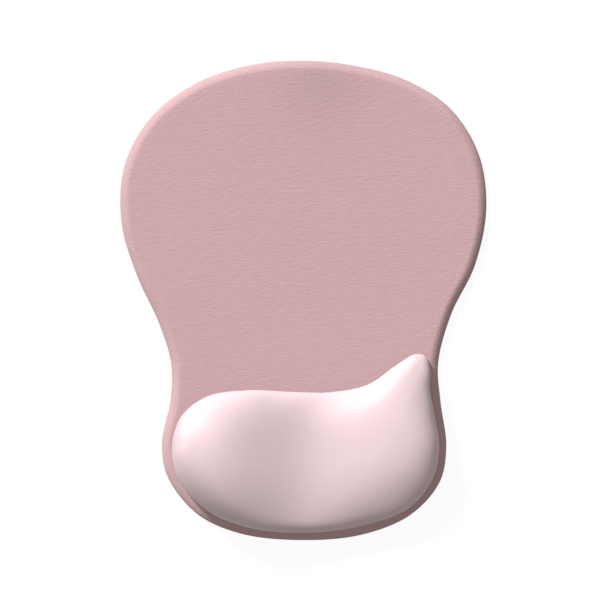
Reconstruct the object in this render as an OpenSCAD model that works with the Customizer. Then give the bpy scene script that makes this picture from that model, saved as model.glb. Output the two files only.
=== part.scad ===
// Hourglass mouse pad with a raised, saddle-shaped wrist rest.
// The origin is the centre of the resting face: +X is to the right, +Y is away from the
// user and +Z is up. The pad is built up in layers from the desk, and the soft rest is
// glued on top of its front half.

/* [Pad] */
// Length of the pad from front to back
pad_length = 260; // [240:1:280]
// Width of the pad across its broad back end
pad_width = 198.6; // [185:0.2:215]
// Thickness of the non-slip base sheet
base_t = 1.2; // [0.8:0.1:2]
// Thickness of the foam core
foam_t = 3.6; // [3:0.1:6]
// Thickness of the woven cover
cover_t = 0.5; // [0.3:0.1:0.8]
// Thickness of each adhesive film
film_t = 0.1; // [0.1:0.05:0.2]
// Width of the rounded rim, seen from above
rim_w = 4.8; // [3:0.2:6]
// Share of the cover's height that the rim rounds over before it turns under
rim_fullness = 0.86; // [0.7:0.02:0.9]
// Width of the hem that the cover turns in under the foam
hem_w = 8; // [7:0.5:12]
// Distance from the pad's edge in to the base sheet's edge
base_inset = 2.5; // [2:0.5:4]

/* [Wrist rest] */
// Fullness of the left crest, above the pad
crest_left = 26.4; // [20:0.2:30]
// Fullness of the saddle between the crests, above the pad
saddle = 12.6; // [10:0.2:18]
// Fullness of the right crest, above the pad
crest_right = 19.4; // [14:0.2:26]
// Least height of the upright side wall of the rest
wall_h = 2; // [2:0.1:3]
// How much higher the surface rolls over just inside the wall
edge_roll = 2.2; // [0.4:0.1:3]
// How far the foot of the rest tucks in under the wall
tuck = 0.5; // [0.2:0.1:1]
// Thickness of the rest's smooth skin
skin_t = 0.8; // [0.5:0.1:1.2]
// Thickness of the sheet that closes the rest underneath
backing_t = 0.8; // [0.5:0.1:1]

/* [Smoothness] */
// Steps between two outline points
steps = 5; // [3:1:6]

/* [Hidden] */

// Outline points of a pad 260 long and 198.6 wide, counter-clockwise from the back.
pad_points = [
    [0, 130], [-30, 127.3], [-59.1, 117.3], [-83.1, 98.7], [-97.1, 72.5], [-98.5, 42],
    [-90.2, 13.6], [-78.2, -12.4], [-71.7, -34], [-72, -54], [-76.6, -77],
    [-73.7, -95.4], [-57.4, -115.9], [-33.9, -126.5], [0, -130], [32, -127],
    [58, -116.4], [74, -98.5], [77.6, -79], [74.5, -55], [73.2, -34], [80.3, -7.4],
    [93.1, 19], [99.3, 50], [95, 79.8], [79.4, 104.4], [55, 119.8], [29, 127.1]];

// Outline points of the rest, counter-clockwise. The third value is how far the
// shoulder rounds in from the edge there: a small one gives a steep slope. The fourth
// is how high the upright side wall stands there.
rest_points = [
    [73, -80, 9.6, 8.1], [70.7, -62.1, 10.3, 7.7], [68.1, -48, 16.2, 8],
    [68.2, -37, 24.6, 4.7], [66, -30.1, 29, 2], [60.6, -29, 24.4, 3.1],
    [49.3, -35.4, 12.7, 6.5], [35.1, -45.3, 9.9, 2], [15, -49.5, 16.1, 2],
    [-7, -49.2, 10.8, 7], [-30, -48.2, 15.1, 12.7], [-52, -51.7, 18.3, 12.1],
    [-66.1, -63, 6.6, 4.1], [-71, -80, 5.2, 2], [-67.1, -97.3, 8.1, 2],
    [-52.1, -113.1, 10.6, 4.7], [-28.1, -122.4, 9.4, 8.3], [2, -125.2, 5.6, 4.3],
    [31.9, -121.7, 13.5, 2.6], [56.4, -112.1, 19.6, 5.2], [69, -96.9, 14.3, 7.8]];

// Where the crests and the saddle lie across the rest
crest_left_x = -54.5;
saddle_x = 6.9;
crest_right_x = 62;
// The crest line rises towards the back and falls towards the front of this line
crest_mid_y = -85;
crest_half_length = 35;
crest_rise = 1.9;
// Sharpness of the shoulder
shoulder = 0.89;
// Middle of the rest, which every part of its edge can be seen from
rest_mid = [10, -85];

// Levels, from the desk up
base_top = base_t;
foam_bottom = base_top + film_t;
foam_top = foam_bottom + foam_t;
cover_bottom = foam_top + film_t;
pad_top = cover_bottom + cover_t;
backing_top = film_t + backing_t;

// Slack between the cover and the foam round the rim, and round the gel
slack = 0.05;
// Height of the rim's widest line, and how far the rim turns in below it
rim_wide = pad_top - rim_fullness * (pad_top - foam_bottom);
rim_under = 0.9;
// Angles of the rings that round the rim, above its widest line and below it
rim_angles = [0, 22.5, 45, 67.5, 90];
under_angles = [45, 90];
// Rings of the rest: distances in from the edge, then fractions of the way out
edge_rings = [0, 1.2, 2.6, 4.2];
edge_band = edge_rings[len(edge_rings) - 1];
inner_rings = [0.93, 0.85, 0.75, 0.62, 0.46, 0.26];

scale_x = pad_width / 198.6;
scale_y = pad_length / 260;

// ---- Outlines ----

function flat(p) = [p[0], p[1]];

// Root of the distance between two points, the spacing of a centripetal curve
function gap(a, b) = sqrt(norm(flat(b) - flat(a)));

// Slope at point b of the curve that runs through a, b and c, over a span of length d
function slope(a, b, c, d) =
    let (ab = gap(a, b), bc = gap(b, c))
    d * ((b - a) / ab - (c - a) / (ab + bc) + (c - b) / bc);

// One smooth span from b to c, in k steps
function span(a, b, c, e, k) =
    let (d = gap(b, c), s = slope(a, b, c, d), f = slope(b, c, e, d))
    [for (i = [0 : k - 1])
        let (t = i / k, u = t * t, v = u * t)
        (2 * v - 3 * u + 1) * b + (v - 2 * u + t) * s
            + (3 * u - 2 * v) * c + (v - u) * f];

// Closed smooth curve through all the points
function curve(p, k) =
    let (n = len(p))
    [for (i = [0 : n - 1])
        each span(p[(i + n - 1) % n], p[i], p[(i + 1) % n], p[(i + 2) % n], k)];

// The same closed outline, moved in by a distance
function inset(p, d) =
    let (n = len(p))
    [for (i = [0 : n - 1])
        let (a = flat(p[(i + n - 1) % n]), c = flat(p[(i + 1) % n]), t = c - a)
        flat(p[i]) + d * [-t[1], t[0]] / norm(t)];

// The same points, all at height z
function at_height(p, z) = [for (q = p) [q[0], q[1], z]];

pad_edge = curve([for (p = pad_points) [p[0] * scale_x, p[1] * scale_y]], steps);
rest_scaled = [for (p = rest_points) [p[0] * scale_x, p[1] * scale_y, p[2], p[3]]];
rest_edge = curve(rest_scaled, steps);

// ---- Surface of the rest ----

// Fine samples of the edge, and the length of edge that each stands for
fine_edge = curve(rest_scaled, 12);
fine_length = let (n = len(fine_edge))
    [for (i = [0 : n - 1])
        norm(flat(fine_edge[(i + 1) % n]) - flat(fine_edge[(i + n - 1) % n])) / 2];
fine_width = [for (i = [0 : len(fine_edge) - 1])
    0.75 * fine_length[i] * pow(fine_edge[i][2], 4)];
fine_wall = [for (i = [0 : len(fine_edge) - 1]) fine_length[i] * wall_at(fine_edge[i])];

// Height of the upright wall at a point of the edge
function wall_at(q) = max(wall_h, q[3]);

// How strongly each fine sample of the edge counts at a point: the nearest count most
function nearness(p) = [for (q = fine_edge) pow(max(0.5, norm(p - flat(q))), -5)];

// Height of the crest line above the pad, with the saddle between its crests
function crest(p) =
    let (left = p[0] < saddle_x * scale_x,
         away = abs(p[0] / scale_x - saddle_x),
         reach = left ? saddle_x - crest_left_x : crest_right_x - saddle_x,
         top = left ? crest_left : crest_right,
         back = (p[1] / scale_y - crest_mid_y) / crest_half_length)
    saddle + (top - saddle) * (1 - cos(180 * min(1, away / reach))) / 2
        + crest_rise * back * abs(back);

function soft_step(x) = (exp(2 * x) - 1) / (exp(2 * x) + 1);

// Height of the rest's surface above the pad, at a distance in from the edge. The depth
// is the distance in, counted in shoulder widths and smoothed in the corners.
function rest_height(p, distance) =
    let (near = nearness(p),
         depth = pow(near * fine_width, -1 / 4),
         wall = (near * fine_wall) / (near * fine_length),
         rolled = wall + edge_roll * sqrt(1 - pow(1 - distance / edge_band, 2)))
    rolled + (crest(p) - rolled) * soft_step(pow(depth, shoulder));

// Rings of points over the rest's dome, from the edge in
function dome_outlines(edge) =
    let (inner = inset(edge, edge_band))
    [each [for (d = edge_rings) inset(edge, d)],
     each [for (s = inner_rings) [for (p = inner) rest_mid + s * (flat(p) - rest_mid)]]];

dome_rings = dome_outlines(rest_edge);
dome_heights = [for (j = [0 : len(dome_rings) - 1])
    let (d = j < len(edge_rings) ? edge_rings[j] : edge_band)
    [for (i = [0 : len(rest_edge) - 1])
        j == 0 ? wall_at(rest_edge[i]) : rest_height(dome_rings[j][i], d)]];
mid_height = rest_height(rest_mid, edge_band);

// The dome's surface, sunk by a depth all over: straight in at the sides, down on top
function dome(sink) =
    let (moved = dome_outlines(inset(rest_edge, sink)))
    [for (j = [0 : len(moved) - 1])
        [for (i = [0 : len(rest_edge) - 1])
            [moved[j][i][0], moved[j][i][1], dome_heights[j][i] - sink]]];

function dome_peak(sink) = [rest_mid[0], rest_mid[1], mid_height - sink];

function reversed(v) = [for (i = [len(v) - 1 : -1 : 0]) v[i]];

// ---- Solids ----

// Closed solid through a stack of rings, ended by one point at each end.
// Going from the first ring to the last turns outwards round the solid.
module ringed(first, rings, last) {
    n = len(rings[0]);
    m = len(rings);
    end = n * m;
    points = [each [for (r = rings) each r], first, last];
    sides = [for (j = [0 : m - 2], i = [0 : n - 1])
        let (a = j * n + i, b = j * n + (i + 1) % n)
        each [[a, b, b + n], [a, b + n, a + n]]];
    caps = [for (i = [0 : n - 1])
        each [[end, (i + 1) % n, i], [end + 1, end - n + i, end - n + (i + 1) % n]]];
    polyhedron(points = points, faces = [each sides, each caps]);
}

// Flat sheet with a smooth outline, from height z up
module sheet(outline, z, t) {
    translate([0, 0, z])
        linear_extrude(t)
            polygon(outline);
}

// Rings of a rounded rim: depth is how far inside the cover's outer face they lie
function rim_rings(depth, top, bottom) =
    [each [for (a = rim_angles)
        at_height(inset(pad_edge, depth + (rim_w - depth) * (1 - sin(a))),
                  rim_wide + (top - rim_wide) * cos(a))],
     each [for (a = under_angles)
        at_height(inset(pad_edge, depth + rim_under * (1 - cos(a))),
                  rim_wide - (rim_wide - bottom) * sin(a))]];

// ---- The pad ----

module grip_base() {
    color("#4a4648")
        sheet(inset(pad_edge, base_inset), 0, base_t);
}

module base_adhesive() {
    color("#e6dcc0")
        sheet(inset(pad_edge, base_inset + 1), base_top, film_t);
}

// The foam has a shallow step underneath, where the cover's hem lies.
module foam_core() {
    hem_top = foam_bottom + cover_t + slack;
    color("#efe9dc")
        ringed([0, 0, foam_top],
               [at_height(inset(pad_edge, rim_w), foam_top),
                each rim_rings(cover_t + slack, foam_top - slack, hem_top),
                at_height(inset(pad_edge, hem_w + slack), hem_top),
                at_height(inset(pad_edge, hem_w + slack), foam_bottom)],
               [0, 0, foam_bottom]);
}

module cover_adhesive() {
    color("#e6dcc0")
        sheet(inset(pad_edge, rim_w + 0.5), foam_top, film_t);
}

// The woven cover lies over the foam, rounds the rim and turns in underneath as a hem.
module top_cover() {
    color("#ceaaab")
        ringed([0, 0, pad_top],
               [each rim_rings(0, pad_top, foam_bottom),
                at_height(inset(pad_edge, hem_w), foam_bottom),
                at_height(inset(pad_edge, hem_w), foam_bottom + cover_t),
                each reversed(rim_rings(cover_t, cover_bottom, foam_bottom + cover_t))],
               [0, 0, cover_bottom]);
}

// ---- The wrist rest ----

module rest_adhesive() {
    color("#e6dcc0")
        sheet(inset(rest_edge, tuck + skin_t + 0.3), pad_top, film_t);
}

module rest_backing() {
    color("#d9c9c8")
        sheet(inset(rest_edge, tuck + skin_t + 0.1), pad_top + film_t, backing_t);
}

module rest_gel() {
    rings = dome(skin_t + slack);
    color("#f0e6e0")
        translate([0, 0, pad_top])
            ringed(dome_peak(skin_t + slack),
                   [each reversed(rings),
                    at_height(inset(rest_edge, skin_t + 0.25), backing_top + 0.02),
                    at_height(inset(rest_edge, skin_t + tuck), backing_top)],
                   [rest_mid[0], rest_mid[1], backing_top]);
}

module rest_skin() {
    color("#eed8da")
        translate([0, 0, pad_top])
            ringed(dome_peak(0),
                   [each reversed(dome(0)),
                    at_height(inset(rest_edge, tuck), 0),
                    at_height(inset(rest_edge, tuck + skin_t), 0),
                    each dome(skin_t)],
                   dome_peak(skin_t));
}

grip_base();
base_adhesive();
foam_core();
cover_adhesive();
top_cover();
rest_adhesive();
rest_backing();
rest_gel();
rest_skin();
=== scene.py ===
import math

import bpy
import numpy as np
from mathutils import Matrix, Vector


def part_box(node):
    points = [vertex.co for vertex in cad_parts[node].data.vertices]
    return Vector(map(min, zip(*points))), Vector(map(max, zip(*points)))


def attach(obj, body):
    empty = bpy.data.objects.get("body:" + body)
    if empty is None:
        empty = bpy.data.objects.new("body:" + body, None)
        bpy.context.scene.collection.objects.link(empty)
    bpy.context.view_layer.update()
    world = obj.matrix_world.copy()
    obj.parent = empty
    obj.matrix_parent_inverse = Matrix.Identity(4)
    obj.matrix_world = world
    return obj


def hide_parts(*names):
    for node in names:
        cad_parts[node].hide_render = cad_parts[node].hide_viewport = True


# Looks of an hourglass mouse pad with a soft, saddle-shaped wrist rest glued on top of it.
# The shapes below are worked out in millimetres and become metres in make_piece().

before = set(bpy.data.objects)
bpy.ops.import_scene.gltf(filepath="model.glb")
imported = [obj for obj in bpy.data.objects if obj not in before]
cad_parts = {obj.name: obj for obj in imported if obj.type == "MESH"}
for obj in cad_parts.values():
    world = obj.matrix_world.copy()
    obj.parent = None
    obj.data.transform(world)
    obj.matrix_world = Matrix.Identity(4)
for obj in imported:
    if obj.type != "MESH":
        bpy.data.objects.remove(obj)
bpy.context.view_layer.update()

MM = 0.001


# ---- Sizes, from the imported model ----

def level(node, top):
    """Height of a CAD node's lower or upper face, in millimetres."""
    return round(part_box(node)[1 if top else 0].z / MM, 3)


FOAM_BOTTOM = level("foam_core", False)
FOAM_TOP = level("foam_core", True)
COVER_BOTTOM = level("cover_adhesive", True)
PAD_TOP = level("top_cover", True)
BACKING_TOP = level("rest_backing", True)
COVER_T = 0.5
SKIN_T = 0.8
TUCK = 0.5
SLACK = 0.05

RIM_W = 4.8
RIM_UNDER = 0.9
RIM_FULLNESS = 0.86
RIM_WIDE = PAD_TOP - RIM_FULLNESS * (PAD_TOP - FOAM_BOTTOM)
# 1 rounds the rim as an ellipse. More than that makes it nearer to a soft chamfer.
RIM_POWER = 1.3
HEM_W = 8.0

# Outline points of the pad, counter-clockwise from the middle of its back edge.
PAD_POINTS = np.array([
    (0, 130), (-30, 127.3), (-59.1, 117.3), (-83.1, 98.7), (-97.1, 72.5), (-98.5, 42),
    (-90.2, 13.6), (-78.2, -12.4), (-71.7, -34), (-72, -54), (-76.6, -77),
    (-73.7, -95.4), (-57.4, -115.9), (-33.9, -126.5), (0, -130), (32, -127),
    (58, -116.4), (74, -98.5), (77.6, -79), (74.5, -55), (73.2, -34), (80.3, -7.4),
    (93.1, 19), (99.3, 50), (95, 79.8), (79.4, 104.4), (55, 119.8), (29, 127.1)], float)

# Outline points of the rest, counter-clockwise, each with the width of its shoulder and
# the height of its upright side wall.
REST_POINTS = np.array([
    (73, -80, 9.6, 8.1), (70.7, -62.1, 10.3, 7.7), (68.1, -48, 16.2, 8),
    (68.2, -37, 24.6, 4.7), (66, -30.1, 29, 2), (60.6, -29, 24.4, 3.1),
    (49.3, -35.4, 12.7, 6.5), (35.1, -45.3, 9.9, 2), (15, -49.5, 16.1, 2),
    (-7, -49.2, 10.8, 7), (-30, -48.2, 15.1, 12.7), (-52, -51.7, 18.3, 12.1),
    (-66.1, -63, 6.6, 4.1), (-71, -80, 5.2, 2), (-67.1, -97.3, 8.1, 2),
    (-52.1, -113.1, 10.6, 4.7), (-28.1, -122.4, 9.4, 8.3), (2, -125.2, 5.6, 4.3),
    (31.9, -121.7, 13.5, 2.6), (56.4, -112.1, 19.6, 5.2), (69, -96.9, 14.3, 7.8)], float)

LEAST_WALL = 2.0
REST_MID = np.array([10.0, -85.0])
CREST_LEFT = 26.4
SADDLE = 12.6
CREST_RIGHT = 19.4
CREST_LEFT_X = -54.5
SADDLE_X = 6.9
CREST_RIGHT_X = 62.0
CREST_MID_Y = -85.0
CREST_HALF_LENGTH = 35.0
CREST_RISE = 1.9
SHOULDER = 0.89
EDGE_ROLL = 2.2
EDGE_BAND = 4.2
# Nearer the edge than this, a point's own edge point is all that shapes the surface
CLOSE_IN = 0.6


# ---- Outlines ----

def closed_curve(points, steps):
    """Closed smooth curve through the points. Distances are taken from x and y only."""
    b = points
    a, c, d = np.roll(b, 1, 0), np.roll(b, -1, 0), np.roll(b, -2, 0)

    def gap(p, q):
        return np.sqrt(np.linalg.norm((q - p)[:, :2], axis=1))[:, None]

    ab, bc, cd = gap(a, b), gap(b, c), gap(c, d)
    slope_b = bc * ((b - a) / ab - (c - a) / (ab + bc) + (c - b) / bc)
    slope_c = bc * ((c - b) / bc - (d - b) / (bc + cd) + (d - c) / cd)
    spans = []
    for k in range(steps):
        t = k / steps
        spans.append((2 * t**3 - 3 * t**2 + 1) * b + (t**3 - 2 * t**2 + t) * slope_b
                     + (3 * t**2 - 2 * t**3) * c + (t**3 - t**2) * slope_c)
    return np.stack(spans, 1).reshape(-1, points.shape[1])


def inward(outline):
    """Unit vectors that point into a counter-clockwise outline."""
    along = np.roll(outline, -1, 0)[:, :2] - np.roll(outline, 1, 0)[:, :2]
    turned = np.stack([-along[:, 1], along[:, 0]], 1)
    return turned / np.linalg.norm(turned, axis=1)[:, None]


def inset(outline, distance):
    """The outline moved in by a distance, which may differ from point to point."""
    return outline[:, :2] + np.reshape(distance, (-1, 1)) * inward(outline)


def at_height(outline, z):
    """The outline as points at height z, which may differ from point to point."""
    column = np.broadcast_to(np.asarray(z, float), (len(outline),))
    return np.column_stack([outline[:, :2], column])


# ---- Surface of the rest ----

def wall_at(edge):
    """Height of the upright wall at points of the rest's edge."""
    return np.maximum(LEAST_WALL, edge[:, 3])


FINE_STEPS = 48
REST_FINE = closed_curve(REST_POINTS, FINE_STEPS)
FINE_LENGTH = np.linalg.norm(
    (np.roll(REST_FINE, -1, 0) - np.roll(REST_FINE, 1, 0))[:, :2], axis=1) / 2
# Each edge point counts for the inverse fifth power of its distance. With this factor, a
# straight edge then sums to (width / distance)**4
STRAIGHT_EDGE = 0.75
FINE_WIDTH = STRAIGHT_EDGE * FINE_LENGTH * REST_FINE[:, 2]**4
NEAREST = 0.05
FINE_WALL = FINE_LENGTH * wall_at(REST_FINE)


def depth_and_wall(points):
    """Soft depth below the edge in shoulder widths, and the height of the nearest wall."""
    sums = np.zeros((3, len(points)))
    for part in np.array_split(np.arange(len(REST_FINE)), 8):
        apart = points[:, None, :2] - REST_FINE[None, part, :2]
        near = np.maximum(np.sqrt((apart**2).sum(2)), NEAREST)**-5
        sums += np.stack([near @ FINE_WIDTH[part], near @ FINE_WALL[part],
                          near @ FINE_LENGTH[part]])
    return sums[0]**-0.25, sums[1] / sums[2]


def crest(points):
    """Height of the crest line above the pad, with the saddle between its crests."""
    x, y = points[:, 0], points[:, 1]
    left = x < SADDLE_X
    reach = np.where(left, SADDLE_X - CREST_LEFT_X, CREST_RIGHT_X - SADDLE_X)
    top = np.where(left, CREST_LEFT, CREST_RIGHT)
    share = np.minimum(np.abs(x - SADDLE_X) / reach, 1)
    back = (y - CREST_MID_Y) / CREST_HALF_LENGTH
    return (SADDLE + (top - SADDLE) * (0.5 - 0.5 * np.cos(np.pi * share))
            + CREST_RISE * back * np.abs(back))


def rest_height(points, run, edge):
    """Height of the rest's surface above the pad, at points a run in from its edge."""
    if run < CLOSE_IN:
        depth, wall = run / edge[:, 2], wall_at(edge)
    else:
        depth, wall = depth_and_wall(points)
    rolled = wall + EDGE_ROLL * math.sqrt(1 - (1 - min(1, run / EDGE_BAND))**2)
    return rolled + (crest(points) - rolled) * np.tanh(depth**SHOULDER)


# ---- Meshes from rings ----

def joined_rings(a, b, start_a, start_b):
    """Faces between two closed rings of a and b points. One may have half the other's count."""
    if a == b:
        i = np.arange(a)
        k = (i + 1) % a
        return np.stack([start_a + i, start_a + k, start_b + k, start_b + i], 1).tolist()
    if a == 2 * b:
        i = np.arange(b)
        k = (i + 1) % b
        near, mid, far = start_a + 2 * i, start_a + 2 * i + 1, start_a + (2 * i + 2) % a
        this, after = start_b + i, start_b + k
        return (np.stack([near, mid, this], 1).tolist()
                + np.stack([mid, after, this], 1).tolist()
                + np.stack([mid, far, after], 1).tolist())
    flipped = joined_rings(b, a, start_b, start_a)
    return [list(reversed(face)) for face in flipped]


# Shares of the way out below which a ring has half as many points
THIN_BELOW = (0.5, 0.25, 0.12)


def thinned(ring, share):
    """Every second, fourth or eighth point of a ring near the middle of its piece."""
    for limit in THIN_BELOW:
        if share < limit:
            ring = ring[::2]
    return ring


def closed_solid(first, rings, last):
    """Points and faces of a closed solid through a stack of rings, with a point at each end."""
    points = [np.reshape(first, (1, 3))] + list(rings) + [np.reshape(last, (1, 3))]
    starts = np.cumsum([0] + [len(p) for p in points])
    faces = []
    for j in range(1, len(rings)):
        faces += joined_rings(len(points[j]), len(points[j + 1]), starts[j], starts[j + 1])
    n, m = len(rings[0]), len(rings[-1])
    faces += [[0, 1 + (i + 1) % n, 1 + i] for i in range(n)]
    end, base = int(starts[-2]), int(starts[-3])
    faces += [[end, base + i, base + (i + 1) % m] for i in range(m)]
    return np.concatenate(points), faces


def volume(points, faces):
    """Signed volume: it is negative if the faces point inwards."""
    total = 0.0
    for face in faces:
        a = points[face[0]]
        for j in range(1, len(face) - 1):
            total += np.dot(a, np.cross(points[face[j]], points[face[j + 1]]))
    return total / 6


def make_piece(name, points, faces, material):
    """A smooth-shaded piece that rides on the only body. The points are in millimetres."""
    if volume(points, faces) < 0:
        faces = [list(reversed(face)) for face in faces]
    mesh = bpy.data.meshes.new(name)
    mesh.from_pydata((points * MM).tolist(), [], faces)
    mesh.polygons.foreach_set("use_smooth", [True] * len(mesh.polygons))
    mesh.materials.append(material)
    mesh.update()
    piece = bpy.data.objects.new(name, mesh)
    bpy.context.scene.collection.objects.link(piece)
    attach(piece, "root")
    return piece


# ---- Rings of the rest's dome ----

EDGE_INSETS = (0.03, 0.12, 0.3, 0.55, 0.9, 1.35, 1.9, 2.55, 3.3, EDGE_BAND)
LINING_INSETS = (0.3, 1.35, EDGE_BAND)
GEL_INSETS = (0.55, 1.9, EDGE_BAND)
SIM_INSETS = (0.3, 1.4, EDGE_BAND)
SKIN_RINGS = 42
LINING_RINGS = 30
GEL_RINGS = 24
# Above 1, the rings lie closer together towards the edge
RING_CROWDING = 1.1


def dome_shares(count):
    """Fractions of the way out from the rest's middle, from the edge band inwards."""
    return 1 - (np.arange(1, count) / count)**RING_CROWDING


def dome_outlines(edge, insets, count):
    """Outlines of the dome's rings and how far out each lies, from the edge in."""
    outlines = [(inset(edge, d), 1.0) for d in insets]
    inner = outlines[-1][0]
    for share in dome_shares(count):
        outlines.append((thinned(REST_MID + share * (inner - REST_MID), share), share))
    return outlines


def dome_rings(edge, insets, count, sink, swell):
    """The dome's rings at its real height, sunk inwards by a depth, with the swell added."""
    outer = dome_outlines(edge, insets, count)
    moved = dome_outlines(inset(edge, sink), insets, count)
    rings = []
    for j, ((ring, share), (place, _)) in enumerate(zip(outer, moved)):
        run = insets[j] if j < len(insets) else EDGE_BAND
        height = rest_height(ring, run, edge)
        if swell is not None:
            height = height + swell(ring, share)
        rings.append(at_height(place, PAD_TOP + height - sink))
    return rings


def dome_peak(sink, swell):
    """The point in the middle of the dome."""
    middle = REST_MID[None, :]
    height = rest_height(middle, EDGE_BAND, None)[0] - sink
    if swell is not None:
        height += float(swell(middle, 0.0)[0])
    return np.array([REST_MID[0], REST_MID[1], PAD_TOP + height])


# ---- How the gel presses its skin out ----

# The cloth starts this far below its real surface, and ends at most the cap from it
SLACK_START = 0.5
SWELL_CAP = 0.45
# The dome's own shape has most of the swell in it already, so only this share is added
SWELL_KEPT = 0.25
SWELL_SMOOTHING = 7.0
SWELL_FADE = 0.2
SIM_COLUMNS = 126
SIM_RINGS = 16
SIM_FRAMES = 20
SIM_PRESSURE = 4
SIM_QUALITY = 6
SIM_MASS = 0.2


def sim_dome():
    """A coarse, slightly slack dome with a closed bottom, for the cloth simulation."""
    edge = closed_curve(REST_POINTS, SIM_COLUMNS // len(REST_POINTS))
    inner = inset(edge, EDGE_BAND)
    outlines = [inset(edge, d) for d in SIM_INSETS]
    outlines += [REST_MID + share * (inner - REST_MID) for share in dome_shares(SIM_RINGS)]
    rings, slacks = [], []
    for j, ring in enumerate(outlines):
        run = SIM_INSETS[j] if j < len(SIM_INSETS) else EDGE_BAND
        height = rest_height(ring, run, edge)
        slack = SLACK_START * np.clip((height - wall_at(edge)) / EDGE_ROLL, 0, 1)
        rings.append(at_height(ring, height - slack))
        slacks.append(slack)
    foot = at_height(inset(edge, TUCK), 0)
    wall = at_height(edge, wall_at(edge))
    peak_z = rest_height(REST_MID[None, :], EDGE_BAND, None)[0] - SLACK_START
    peak = np.array([REST_MID[0], REST_MID[1], peak_z])
    floor_mid = np.array([REST_MID[0], REST_MID[1], 0.0])
    points, faces = closed_solid(peak, rings[::-1] + [wall, foot], floor_mid)
    fixed = list(range(1 + len(rings) * SIM_COLUMNS, len(points)))
    return points, faces, fixed, np.concatenate(slacks[::-1])


def simulate_dome():
    """Lets the cloth swell under pressure. Returns its places, and their rise past the dome."""
    points, faces, fixed, slack = sim_dome()
    if volume(points, faces) < 0:
        faces = [list(reversed(face)) for face in faces]
    mesh = bpy.data.meshes.new("swelling")
    mesh.from_pydata((points * MM).tolist(), [], faces)
    skin = bpy.data.objects.new("swelling", mesh)
    bpy.context.scene.collection.objects.link(skin)
    skin.vertex_groups.new(name="glued").add(fixed, 1.0, "REPLACE")
    cloth = skin.modifiers.new("cloth", "CLOTH").settings
    cloth.vertex_group_mass = "glued"
    cloth.use_pressure = True
    cloth.uniform_pressure_force = SIM_PRESSURE
    cloth.effector_weights.gravity = 0
    cloth.quality = SIM_QUALITY
    cloth.mass = SIM_MASS
    for number in range(1, SIM_FRAMES + 1):
        bpy.context.scene.frame_set(number)
    shown = skin.evaluated_get(bpy.context.evaluated_depsgraph_get())
    moved = np.array([v.co for v in shown.data.vertices], float) / MM
    bpy.data.objects.remove(skin)
    bpy.data.meshes.remove(mesh)
    bpy.context.scene.frame_set(1)
    free = slice(1, 1 + len(slack))
    return points[free, :2], moved[free, 2] - points[free, 2] - slack


def make_swell():
    """A function that gives the swell at places on the dome that lie a share of the way out."""
    places, rise = simulate_dome()

    def swell(points, share):
        apart = points[:, None, :2] - places[None, :, :]
        near = np.exp(-(apart**2).sum(2) / (2 * SWELL_SMOOTHING**2))
        field = SWELL_KEPT * (near @ rise) / near.sum(1)
        inside = min(1.0, max(0.0, (1 - share) / SWELL_FADE))
        fade = inside * inside * (3 - 2 * inside)
        return SWELL_CAP * np.tanh(field / SWELL_CAP) * fade

    return swell


# ---- The rest ----

SKIN_STEPS = 24
GEL_STEPS = 16
REST_EDGE = closed_curve(REST_POINTS, SKIN_STEPS)
FOOT_STEPS = 5
GEL_GAP = 0.25
GEL_LIFT = 0.02


def foot_rings(edge):
    """Rings from the top of the upright wall down, tucking in under it."""
    rings = []
    for k in range(FOOT_STEPS + 1):
        angle = math.pi / 2 * k / FOOT_STEPS
        rings.append(at_height(inset(edge, TUCK * (1 - math.cos(angle))),
                               PAD_TOP + wall_at(edge) * (1 - math.sin(angle))))
    return rings


def make_skin(material, swell):
    """The rest's smooth skin: an open-bottomed shell, glued down by its foot."""
    outer = dome_rings(REST_EDGE, EDGE_INSETS, SKIN_RINGS, 0, swell)
    inner = dome_rings(REST_EDGE, LINING_INSETS, LINING_RINGS, SKIN_T, swell)
    foot = at_height(inset(REST_EDGE, TUCK + SKIN_T), PAD_TOP)
    inside_wall = at_height(inset(REST_EDGE, SKIN_T), PAD_TOP + wall_at(REST_EDGE) - SKIN_T)
    rings = outer[::-1] + foot_rings(REST_EDGE) + [foot, inside_wall] + inner
    points, faces = closed_solid(dome_peak(0, swell), rings, dome_peak(SKIN_T, swell))
    piece = make_piece("soft_skin", points, faces, material)
    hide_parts("rest_skin")
    piece.visible_diffuse = False
    return piece


def make_gel(material, swell):
    """The gel that fills the skin, down to the backing sheet."""
    sink = SKIN_T + SLACK
    edge = closed_curve(REST_POINTS, GEL_STEPS)
    top = dome_rings(edge, GEL_INSETS, GEL_RINGS, sink, swell)
    side = at_height(inset(edge, SKIN_T + GEL_GAP), BACKING_TOP + GEL_LIFT)
    bottom = at_height(inset(edge, SKIN_T + TUCK), BACKING_TOP)
    middle = np.array([REST_MID[0], REST_MID[1], BACKING_TOP])
    points, faces = closed_solid(dome_peak(sink, swell), top[::-1] + [side, bottom], middle)
    piece = make_piece("gel_filling", points, faces, material)
    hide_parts("rest_gel")
    return piece


# ---- The pad ----

COVER_STEPS = 20
FOAM_STEPS = 8
COVER_RIM_STEPS = 14
LINING_RIM_STEPS = 8
FOAM_RIM_STEPS = 6
TOP_RINGS = 44
LINING_TOP_RINGS = 20
FOAM_FACE_RINGS = 16
HEM_INSETS = (2.5, 4.5, 6.5, HEM_W)
HEM_BACK_INSETS = (HEM_W, 4.5)
PAD_EDGE = closed_curve(PAD_POINTS, COVER_STEPS)


def rim_ring(edge, depth, top, angle):
    """One ring of the rounded rim, above its widest line."""
    out, up = math.sin(angle)**RIM_POWER, math.cos(angle)**RIM_POWER
    run = depth + (RIM_W - depth) * (1 - out)
    return at_height(inset(edge, run), RIM_WIDE + (top - RIM_WIDE) * up)


def under_ring(edge, depth, bottom, angle):
    """One ring of the rim where it turns under, below its widest line."""
    run = depth + RIM_UNDER * (1 - math.cos(angle))
    return at_height(inset(edge, run), RIM_WIDE - (RIM_WIDE - bottom) * math.sin(angle))


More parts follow.
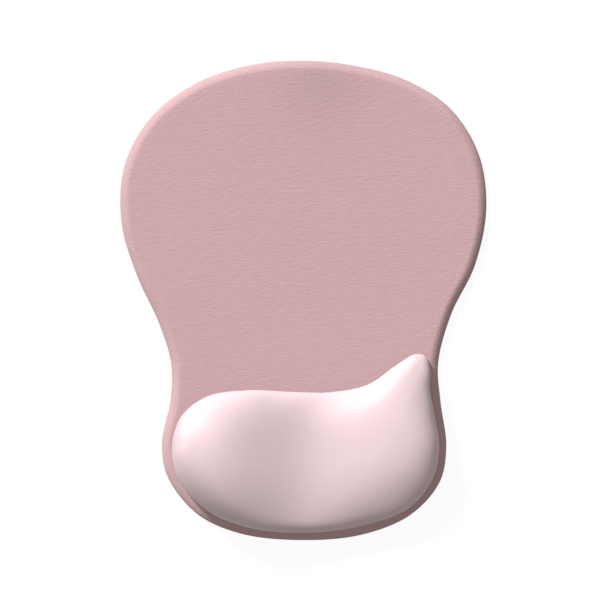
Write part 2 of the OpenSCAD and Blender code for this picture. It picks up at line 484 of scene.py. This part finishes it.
def rim_rings(edge, depth, top, bottom, steps):
    """Rings that round the rim from its top to its underside."""
    over = [rim_ring(edge, depth, top, math.pi / 2 * k / steps) for k in range(steps + 1)]
    half = max(2, steps // 3)
    under = [under_ring(edge, depth, bottom, math.pi / 2 * k / half)
             for k in range(1, half + 1)]
    return over + under


def pad_inner(edge, from_inset, z, count):
    """Rings over the flat middle of the pad, from the rim in to the middle."""
    start = inset(edge, from_inset)
    return [at_height(thinned(share * start, share), z)
            for share in 1 - np.arange(1, count) / count]


def make_cover(material):
    """The woven cover, stretched over the foam, round its rim and turned in as a hem."""
    edge = PAD_EDGE
    outer = rim_rings(edge, 0, PAD_TOP, FOAM_BOTTOM, COVER_RIM_STEPS)
    inner = rim_rings(edge, COVER_T, COVER_BOTTOM, FOAM_BOTTOM + COVER_T, LINING_RIM_STEPS)
    hem_under = [at_height(inset(edge, d), FOAM_BOTTOM) for d in HEM_INSETS]
    hem_over = [at_height(inset(edge, d), FOAM_BOTTOM + COVER_T) for d in HEM_BACK_INSETS]
    top = pad_inner(edge, RIM_W, PAD_TOP, TOP_RINGS)
    lining = pad_inner(edge, RIM_W, COVER_BOTTOM, LINING_TOP_RINGS)
    rings = top[::-1] + outer + hem_under + hem_over + inner[::-1] + lining
    points, faces = closed_solid(np.array([0, 0, PAD_TOP]), rings,
                                 np.array([0, 0, COVER_BOTTOM]))
    piece = make_piece("woven_cover", points, faces, material)
    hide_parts("top_cover")
    return piece


def make_foam(material):
    """The foam core, with a shallow step underneath for the cover's hem."""
    edge = closed_curve(PAD_POINTS, FOAM_STEPS)
    hem_top = FOAM_BOTTOM + COVER_T + SLACK
    top = pad_inner(edge, RIM_W, FOAM_TOP, FOAM_FACE_RINGS)
    rim = rim_rings(edge, COVER_T + SLACK, FOAM_TOP - SLACK, hem_top, FOAM_RIM_STEPS)
    flat_rim = [at_height(inset(edge, RIM_W), FOAM_TOP)]
    step = [at_height(inset(edge, HEM_W + SLACK), z) for z in (hem_top, FOAM_BOTTOM)]
    bottom = pad_inner(edge, HEM_W + SLACK, FOAM_BOTTOM, FOAM_FACE_RINGS)
    rings = top[::-1] + flat_rim + rim + step + bottom
    points, faces = closed_solid(np.array([0, 0, FOAM_TOP]), rings,
                                 np.array([0, 0, FOAM_BOTTOM]))
    piece = make_piece("foam_block", points, faces, material)
    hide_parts("foam_core")
    return piece


# ---- Materials ----

def new_material(name):
    """A node material with only its shader and output, and its node tree and shader."""
    material = bpy.data.materials.new(name)
    material.use_nodes = True
    tree = material.node_tree
    tree.nodes.clear()
    shader = tree.nodes.new("ShaderNodeBsdfPrincipled")
    output = tree.nodes.new("ShaderNodeOutputMaterial")
    tree.links.new(shader.outputs["BSDF"], output.inputs["Surface"])
    return material, tree, shader


def put(tree, kind, settings, values):
    """A node with its settings, and its inputs set to values or linked to sockets."""
    made = tree.nodes.new(kind)
    for key, value in settings.items():
        setattr(made, key, value)
    for key, value in values.items():
        if isinstance(value, bpy.types.NodeSocket):
            tree.links.new(value, made.inputs[key])
        else:
            made.inputs[key].default_value = value
    return made


def object_point(tree, scale):
    """The piece's own coordinates in metres, scaled along each axis."""
    place = tree.nodes.new("ShaderNodeTexCoord").outputs["Object"]
    return put(tree, "ShaderNodeMapping", {}, {"Vector": place, "Scale": scale}).outputs[0]


def noise(tree, scale, detail=2.0, roughness=0.5):
    """Smooth noise from about 0 to 1, with cells of 1 / scale metres along each axis."""
    made = put(tree, "ShaderNodeTexNoise", {},
               {"Vector": object_point(tree, scale), "Scale": 1.0,
                "Detail": detail, "Roughness": roughness})
    return made.outputs["Fac"]


def maths(tree, operation, *values):
    """One sum on numbers or sockets."""
    return put(tree, "ShaderNodeMath", {"operation": operation},
               dict(enumerate(values))).outputs[0]


def blended(tree, share, low, high):
    """A colour between two others."""
    made = put(tree, "ShaderNodeMix", {"data_type": "RGBA"},
               {"Factor": share})
    for name, value in (("A_Color", low), ("B_Color", high)):
        socket = next(s for s in made.inputs if s.identifier == name)
        if isinstance(value, bpy.types.NodeSocket):
            tree.links.new(value, socket)
        else:
            socket.default_value = (*value, 1.0)
    return next(s for s in made.outputs if s.identifier == "Result_Color")


def ranged(tree, value, low, high):
    """A value from 0 to 1 spread over another range."""
    made = put(tree, "ShaderNodeMapRange", {},
               {"Value": value, "From Min": 0.0, "From Max": 1.0,
                "To Min": low, "To Max": high})
    return made.outputs["Result"]


def bumped(tree, height, distance, strength=1.0, normal=None):
    """A bumped normal: height from 0 to 1, distance in metres."""
    values = {"Height": height, "Distance": distance, "Strength": strength}
    if normal is not None:
        values["Normal"] = normal
    return put(tree, "ShaderNodeBump", {}, values).outputs["Normal"]


YARN = 0.00046


def painted_shade_mask(tree, centre, reach):
    """Painted shade mask: 1 at a place on the pad, fading smoothly to 0 at about twice the
    reach from it.
    """
    place = tree.nodes.new("ShaderNodeTexCoord").outputs["Object"]
    from_centre = put(tree, "ShaderNodeVectorMath", {"operation": "SUBTRACT"},
                      {0: place, 1: (*centre, PAD_TOP * MM)}).outputs["Vector"]
    scaled = put(tree, "ShaderNodeVectorMath", {"operation": "DIVIDE"},
                 {0: from_centre, 1: reach}).outputs["Vector"]
    square = put(tree, "ShaderNodeVectorMath", {"operation": "DOT_PRODUCT"},
                 {0: scaled, 1: scaled}).outputs["Value"]
    return maths(tree, "EXPONENT", maths(tree, "MULTIPLY", square, -1.0))


def woven_cloth():
    """Dusty-rose plain weave whose weft runs across the pad in slightly uneven yarns."""
    material, tree, shader = new_material("woven_cloth")
    axes = put(tree, "ShaderNodeSeparateXYZ", {}, {"Vector": object_point(tree, (1, 1, 1))})
    wander = noise(tree, (60, 60, 60), 2.0)
    shift = maths(tree, "MULTIPLY", wander, 0.0022)
    across = maths(tree, "MULTIPLY", axes.outputs["X"], 2 * math.pi / YARN)
    along = maths(tree, "MULTIPLY", maths(tree, "ADD", axes.outputs["Y"], shift),
                  2 * math.pi / YARN)
    warp = maths(tree, "SINE", across)
    weft = maths(tree, "SINE", along)
    crossing = maths(tree, "MULTIPLY", warp, weft)
    weave = maths(tree, "MULTIPLY_ADD", crossing, 0.5, 0.5)
    slub = noise(tree, (230, 760, 760), 3.0, 0.6)
    streak = noise(tree, (520, 1300, 1300), 1.0, 0.5)
    thread = noise(tree, (950, 420, 500), 1.0, 0.5)
    tone = maths(tree, "MULTIPLY_ADD", slub, 0.6, maths(tree, "MULTIPLY", streak, 0.4))
    heather = noise(tree, (14, 11, 14), 2.0)
    low = blended(tree, heather, (0.502, 0.322, 0.333), (0.514, 0.331, 0.340))
    high = blended(tree, heather, (0.570, 0.372, 0.386), (0.583, 0.385, 0.398))
    colour = blended(tree, ranged(tree, tone, 0.0, 1.0), low, high)
    # Painted shade: the cloth colour is mixed with up to 11 percent of near black in a soft
    # patch near the middle of the pad's back edge.
    shade_paint = painted_shade_mask(tree, (0.011, 0.119), (0.026, 0.028, 1.0))
    shaded = blended(tree, maths(tree, "MULTIPLY", shade_paint, 0.11), colour, (0.05, 0.045, 0.06))
    dark = blended(tree, maths(tree, "MULTIPLY", weave, 0.12), shaded, (0.36, 0.22, 0.225))
    tree.links.new(dark, shader.inputs["Base Color"])
    rough = bumped(tree, slub, 0.00018)
    rough = bumped(tree, streak, 0.00006, normal=rough)
    rough = bumped(tree, thread, 0.000042, normal=rough)
    fine = bumped(tree, weave, 0.00003, normal=rough)
    tree.links.new(fine, shader.inputs["Normal"])
    tree.links.new(ranged(tree, slub, 0.82, 0.96), shader.inputs["Roughness"])
    shader.inputs["Specular IOR Level"].default_value = 0.15
    shader.inputs["Sheen Weight"].default_value = 0.16
    shader.inputs["Sheen Roughness"].default_value = 0.45
    return material


def satin_skin():
    """Pale pink, smooth, soft skin with a very fine grain."""
    material, tree, shader = new_material("satin_skin")
    cloud = noise(tree, (22, 22, 22), 2.0)
    speck = noise(tree, (2600, 2600, 2600), 1.0)
    colour = blended(tree, cloud, (0.684, 0.529, 0.546), (0.701, 0.545, 0.562))
    tree.links.new(colour, shader.inputs["Base Color"])
    tree.links.new(ranged(tree, cloud, 0.46, 0.54), shader.inputs["Roughness"])
    grain = bumped(tree, speck, 0.000012)
    tree.links.new(grain, shader.inputs["Normal"])
    shader.inputs["Specular IOR Level"].default_value = 0.2
    return material


def foam_cells():
    """Off-white open foam."""
    material, tree, shader = new_material("foam_cells")
    cells = put(tree, "ShaderNodeTexVoronoi", {"feature": "F1"},
                {"Vector": object_point(tree, (1, 1, 1)), "Scale": 1400.0})
    size = cells.outputs["Distance"]
    colour = blended(tree, size, (0.86, 0.81, 0.70), (0.70, 0.64, 0.53))
    tree.links.new(colour, shader.inputs["Base Color"])
    tree.links.new(bumped(tree, size, 0.0002), shader.inputs["Normal"])
    tree.links.new(ranged(tree, size, 0.8, 0.95), shader.inputs["Roughness"])
    return material


def cloudy_gel():
    """Milky gel, a little glossy."""
    material, tree, shader = new_material("cloudy_gel")
    haze = noise(tree, (90, 90, 90), 3.0)
    tree.links.new(blended(tree, haze, (0.82, 0.74, 0.70), (0.90, 0.84, 0.80)),
                   shader.inputs["Base Color"])
    tree.links.new(ranged(tree, haze, 0.18, 0.3), shader.inputs["Roughness"])
    tree.links.new(bumped(tree, haze, 0.0003), shader.inputs["Normal"])
    shader.inputs["Subsurface Weight"].default_value = 0.3
    shader.inputs["Subsurface Scale"].default_value = 0.004
    return material


def grip_rubber():
    """Charcoal rubber with a fine pebbled face."""
    material, tree, shader = new_material("grip_rubber")
    pebble = noise(tree, (1300, 1300, 1300), 2.0, 0.6)
    dust = noise(tree, (60, 60, 60), 3.0)
    tree.links.new(blended(tree, dust, (0.055, 0.050, 0.052), (0.085, 0.078, 0.080)),
                   shader.inputs["Base Color"])
    tree.links.new(ranged(tree, pebble, 0.62, 0.85), shader.inputs["Roughness"])
    tree.links.new(bumped(tree, pebble, 0.00012), shader.inputs["Normal"])
    return material


def adhesive_film():
    """Dry, cream-coloured contact adhesive."""
    material, tree, shader = new_material("adhesive_film")
    strings = noise(tree, (500, 160, 500), 3.0)
    tree.links.new(blended(tree, strings, (0.70, 0.62, 0.45), (0.82, 0.75, 0.60)),
                   shader.inputs["Base Color"])
    tree.links.new(ranged(tree, strings, 0.35, 0.6), shader.inputs["Roughness"])
    tree.links.new(bumped(tree, strings, 0.00005), shader.inputs["Normal"])
    return material


def backing_sheet():
    """Thin pinkish-grey plastic sheet with a faint extruded grain."""
    material, tree, shader = new_material("backing_sheet")
    grain = noise(tree, (60, 1400, 60), 2.0)
    tree.links.new(blended(tree, grain, (0.64, 0.53, 0.53), (0.72, 0.61, 0.60)),
                   shader.inputs["Base Color"])
    tree.links.new(ranged(tree, grain, 0.4, 0.55), shader.inputs["Roughness"])
    tree.links.new(bumped(tree, grain, 0.00003), shader.inputs["Normal"])
    return material


def finish_node(name, material):
    """Gives a CAD node that stays in view its real material."""
    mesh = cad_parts[name].data
    mesh.materials.clear()
    mesh.materials.append(material)


# ---- Studio ----

KEY_DIRECTION = Vector((-0.488, 0.715, 0.5))
KEY_STRENGTH = 4.475
KEY_SOFTNESS = math.radians(9)
KEY_COLOUR = (1.0, 1.0, 1.015)
SKY_COLOUR = (1.0, 0.995, 0.957, 1.0)
SKY = 0.438
SKY_TILT = 0.29
UNDER_SKY = 0.14
SENSOR_WIDTH = 36.0
FLOOR_GLOW = 0.94
FLOOR_HALF = 6.0
FLOOR_ASIDE = 2.5
FLOOR_Z = -0.0002
CAMERA_X = -0.001766
CAMERA_Y = 0.000247
CAMERA_Z = 1.22235
LENS = 135.0


def make_camera():
    """Looks straight down at the pad, with its back edge at the top of the picture."""
    data = bpy.data.cameras.new("camera")
    data.lens = LENS
    data.sensor_width = SENSOR_WIDTH
    data.clip_start, data.clip_end = 0.05, 20.0
    camera = bpy.data.objects.new("camera", data)
    camera.location = (CAMERA_X, CAMERA_Y, CAMERA_Z)
    bpy.context.scene.collection.objects.link(camera)
    bpy.context.scene.camera = camera


def make_key_light():
    """One large soft light, low behind the pad's left side."""
    data = bpy.data.lights.new("key_light", "SUN")
    data.energy = KEY_STRENGTH
    data.angle = KEY_SOFTNESS
    data.color = KEY_COLOUR
    light = bpy.data.objects.new("key_light", data)
    light.rotation_mode = "QUATERNION"
    light.rotation_quaternion = KEY_DIRECTION.to_track_quat("Z", "Y")
    light.location = KEY_DIRECTION * 1.5
    bpy.context.scene.collection.objects.link(light)


def make_sky():
    """Pale light from above, a little stronger on the key light's side."""
    world = bpy.data.worlds.new("studio_sky")
    bpy.context.scene.world = world
    world.use_nodes = True
    tree = world.node_tree
    tree.nodes.clear()
    way = tree.nodes.new("ShaderNodeTexCoord").outputs["Generated"]
    up = put(tree, "ShaderNodeSeparateXYZ", {}, {"Vector": way}).outputs["Z"]
    level_key = Vector((KEY_DIRECTION.x, KEY_DIRECTION.y, 0)).normalized()
    towards = put(tree, "ShaderNodeVectorMath", {"operation": "DOT_PRODUCT"},
                  {0: way, 1: level_key}).outputs["Value"]
    tilt = maths(tree, "MULTIPLY_ADD", towards, SKY_TILT, 1.0)
    share = put(tree, "ShaderNodeMapRange", {"clamp": True},
                {"Value": up, "From Min": -0.02, "From Max": 0.02,
                 "To Min": UNDER_SKY, "To Max": SKY}).outputs["Result"]
    light = put(tree, "ShaderNodeBackground", {},
                {"Color": SKY_COLOUR, "Strength": maths(tree, "MULTIPLY", share, tilt)})
    output = tree.nodes.new("ShaderNodeOutputWorld")
    tree.links.new(light.outputs[0], output.inputs["Surface"])


def make_floor():
    """A plain pale floor, clear from below."""
    material, tree, shader = new_material("pale_floor")
    mottle = noise(tree, (9, 9, 9), 2.0)
    tree.links.new(blended(tree, mottle, (0.055, 0.055, 0.055), (0.065, 0.065, 0.065)),
                   shader.inputs["Base Color"])
    shader.inputs["Roughness"].default_value = 0.9
    shader.inputs["Specular IOR Level"].default_value = 0.0
    shader.inputs["Emission Color"].default_value = (1.0, 1.0, 1.0, 1.0)
    shader.inputs["Emission Strength"].default_value = FLOOR_GLOW
    clear = tree.nodes.new("ShaderNodeBsdfTransparent")
    back = tree.nodes.new("ShaderNodeNewGeometry").outputs["Backfacing"]
    mix = tree.nodes.new("ShaderNodeMixShader")
    output = next(n for n in tree.nodes if n.type == "OUTPUT_MATERIAL")
    tree.links.new(back, mix.inputs[0])
    tree.links.new(shader.outputs[0], mix.inputs[1])
    tree.links.new(clear.outputs[0], mix.inputs[2])
    tree.links.new(mix.outputs[0], output.inputs["Surface"])
    # The floor is off to one side, so that the line between its two triangles misses the pad
    half, aside, z = FLOOR_HALF, FLOOR_ASIDE, FLOOR_Z
    mesh = bpy.data.meshes.new("pale_floor")
    near, far = aside - half, aside + half
    mesh.from_pydata([(near, -half, z), (far, -half, z), (far, half, z), (near, half, z)],
                     [], [(0, 1, 2, 3)])
    mesh.materials.append(material)
    floor = bpy.data.objects.new("pale_floor", mesh)
    bpy.context.scene.collection.objects.link(floor)
    floor.visible_diffuse = False


bpy.context.scene.view_settings.view_transform = "Standard"
make_camera()
make_key_light()
make_sky()
make_floor()

swell_over = make_swell()
make_cover(woven_cloth())
make_foam(foam_cells())
make_skin(satin_skin(), swell_over)
make_gel(cloudy_gel(), swell_over)
finish_node("grip_base", grip_rubber())
glue = adhesive_film()
finish_node("base_adhesive", glue)
finish_node("cover_adhesive", glue)
finish_node("rest_adhesive", glue)
finish_node("rest_backing", backing_sheet())
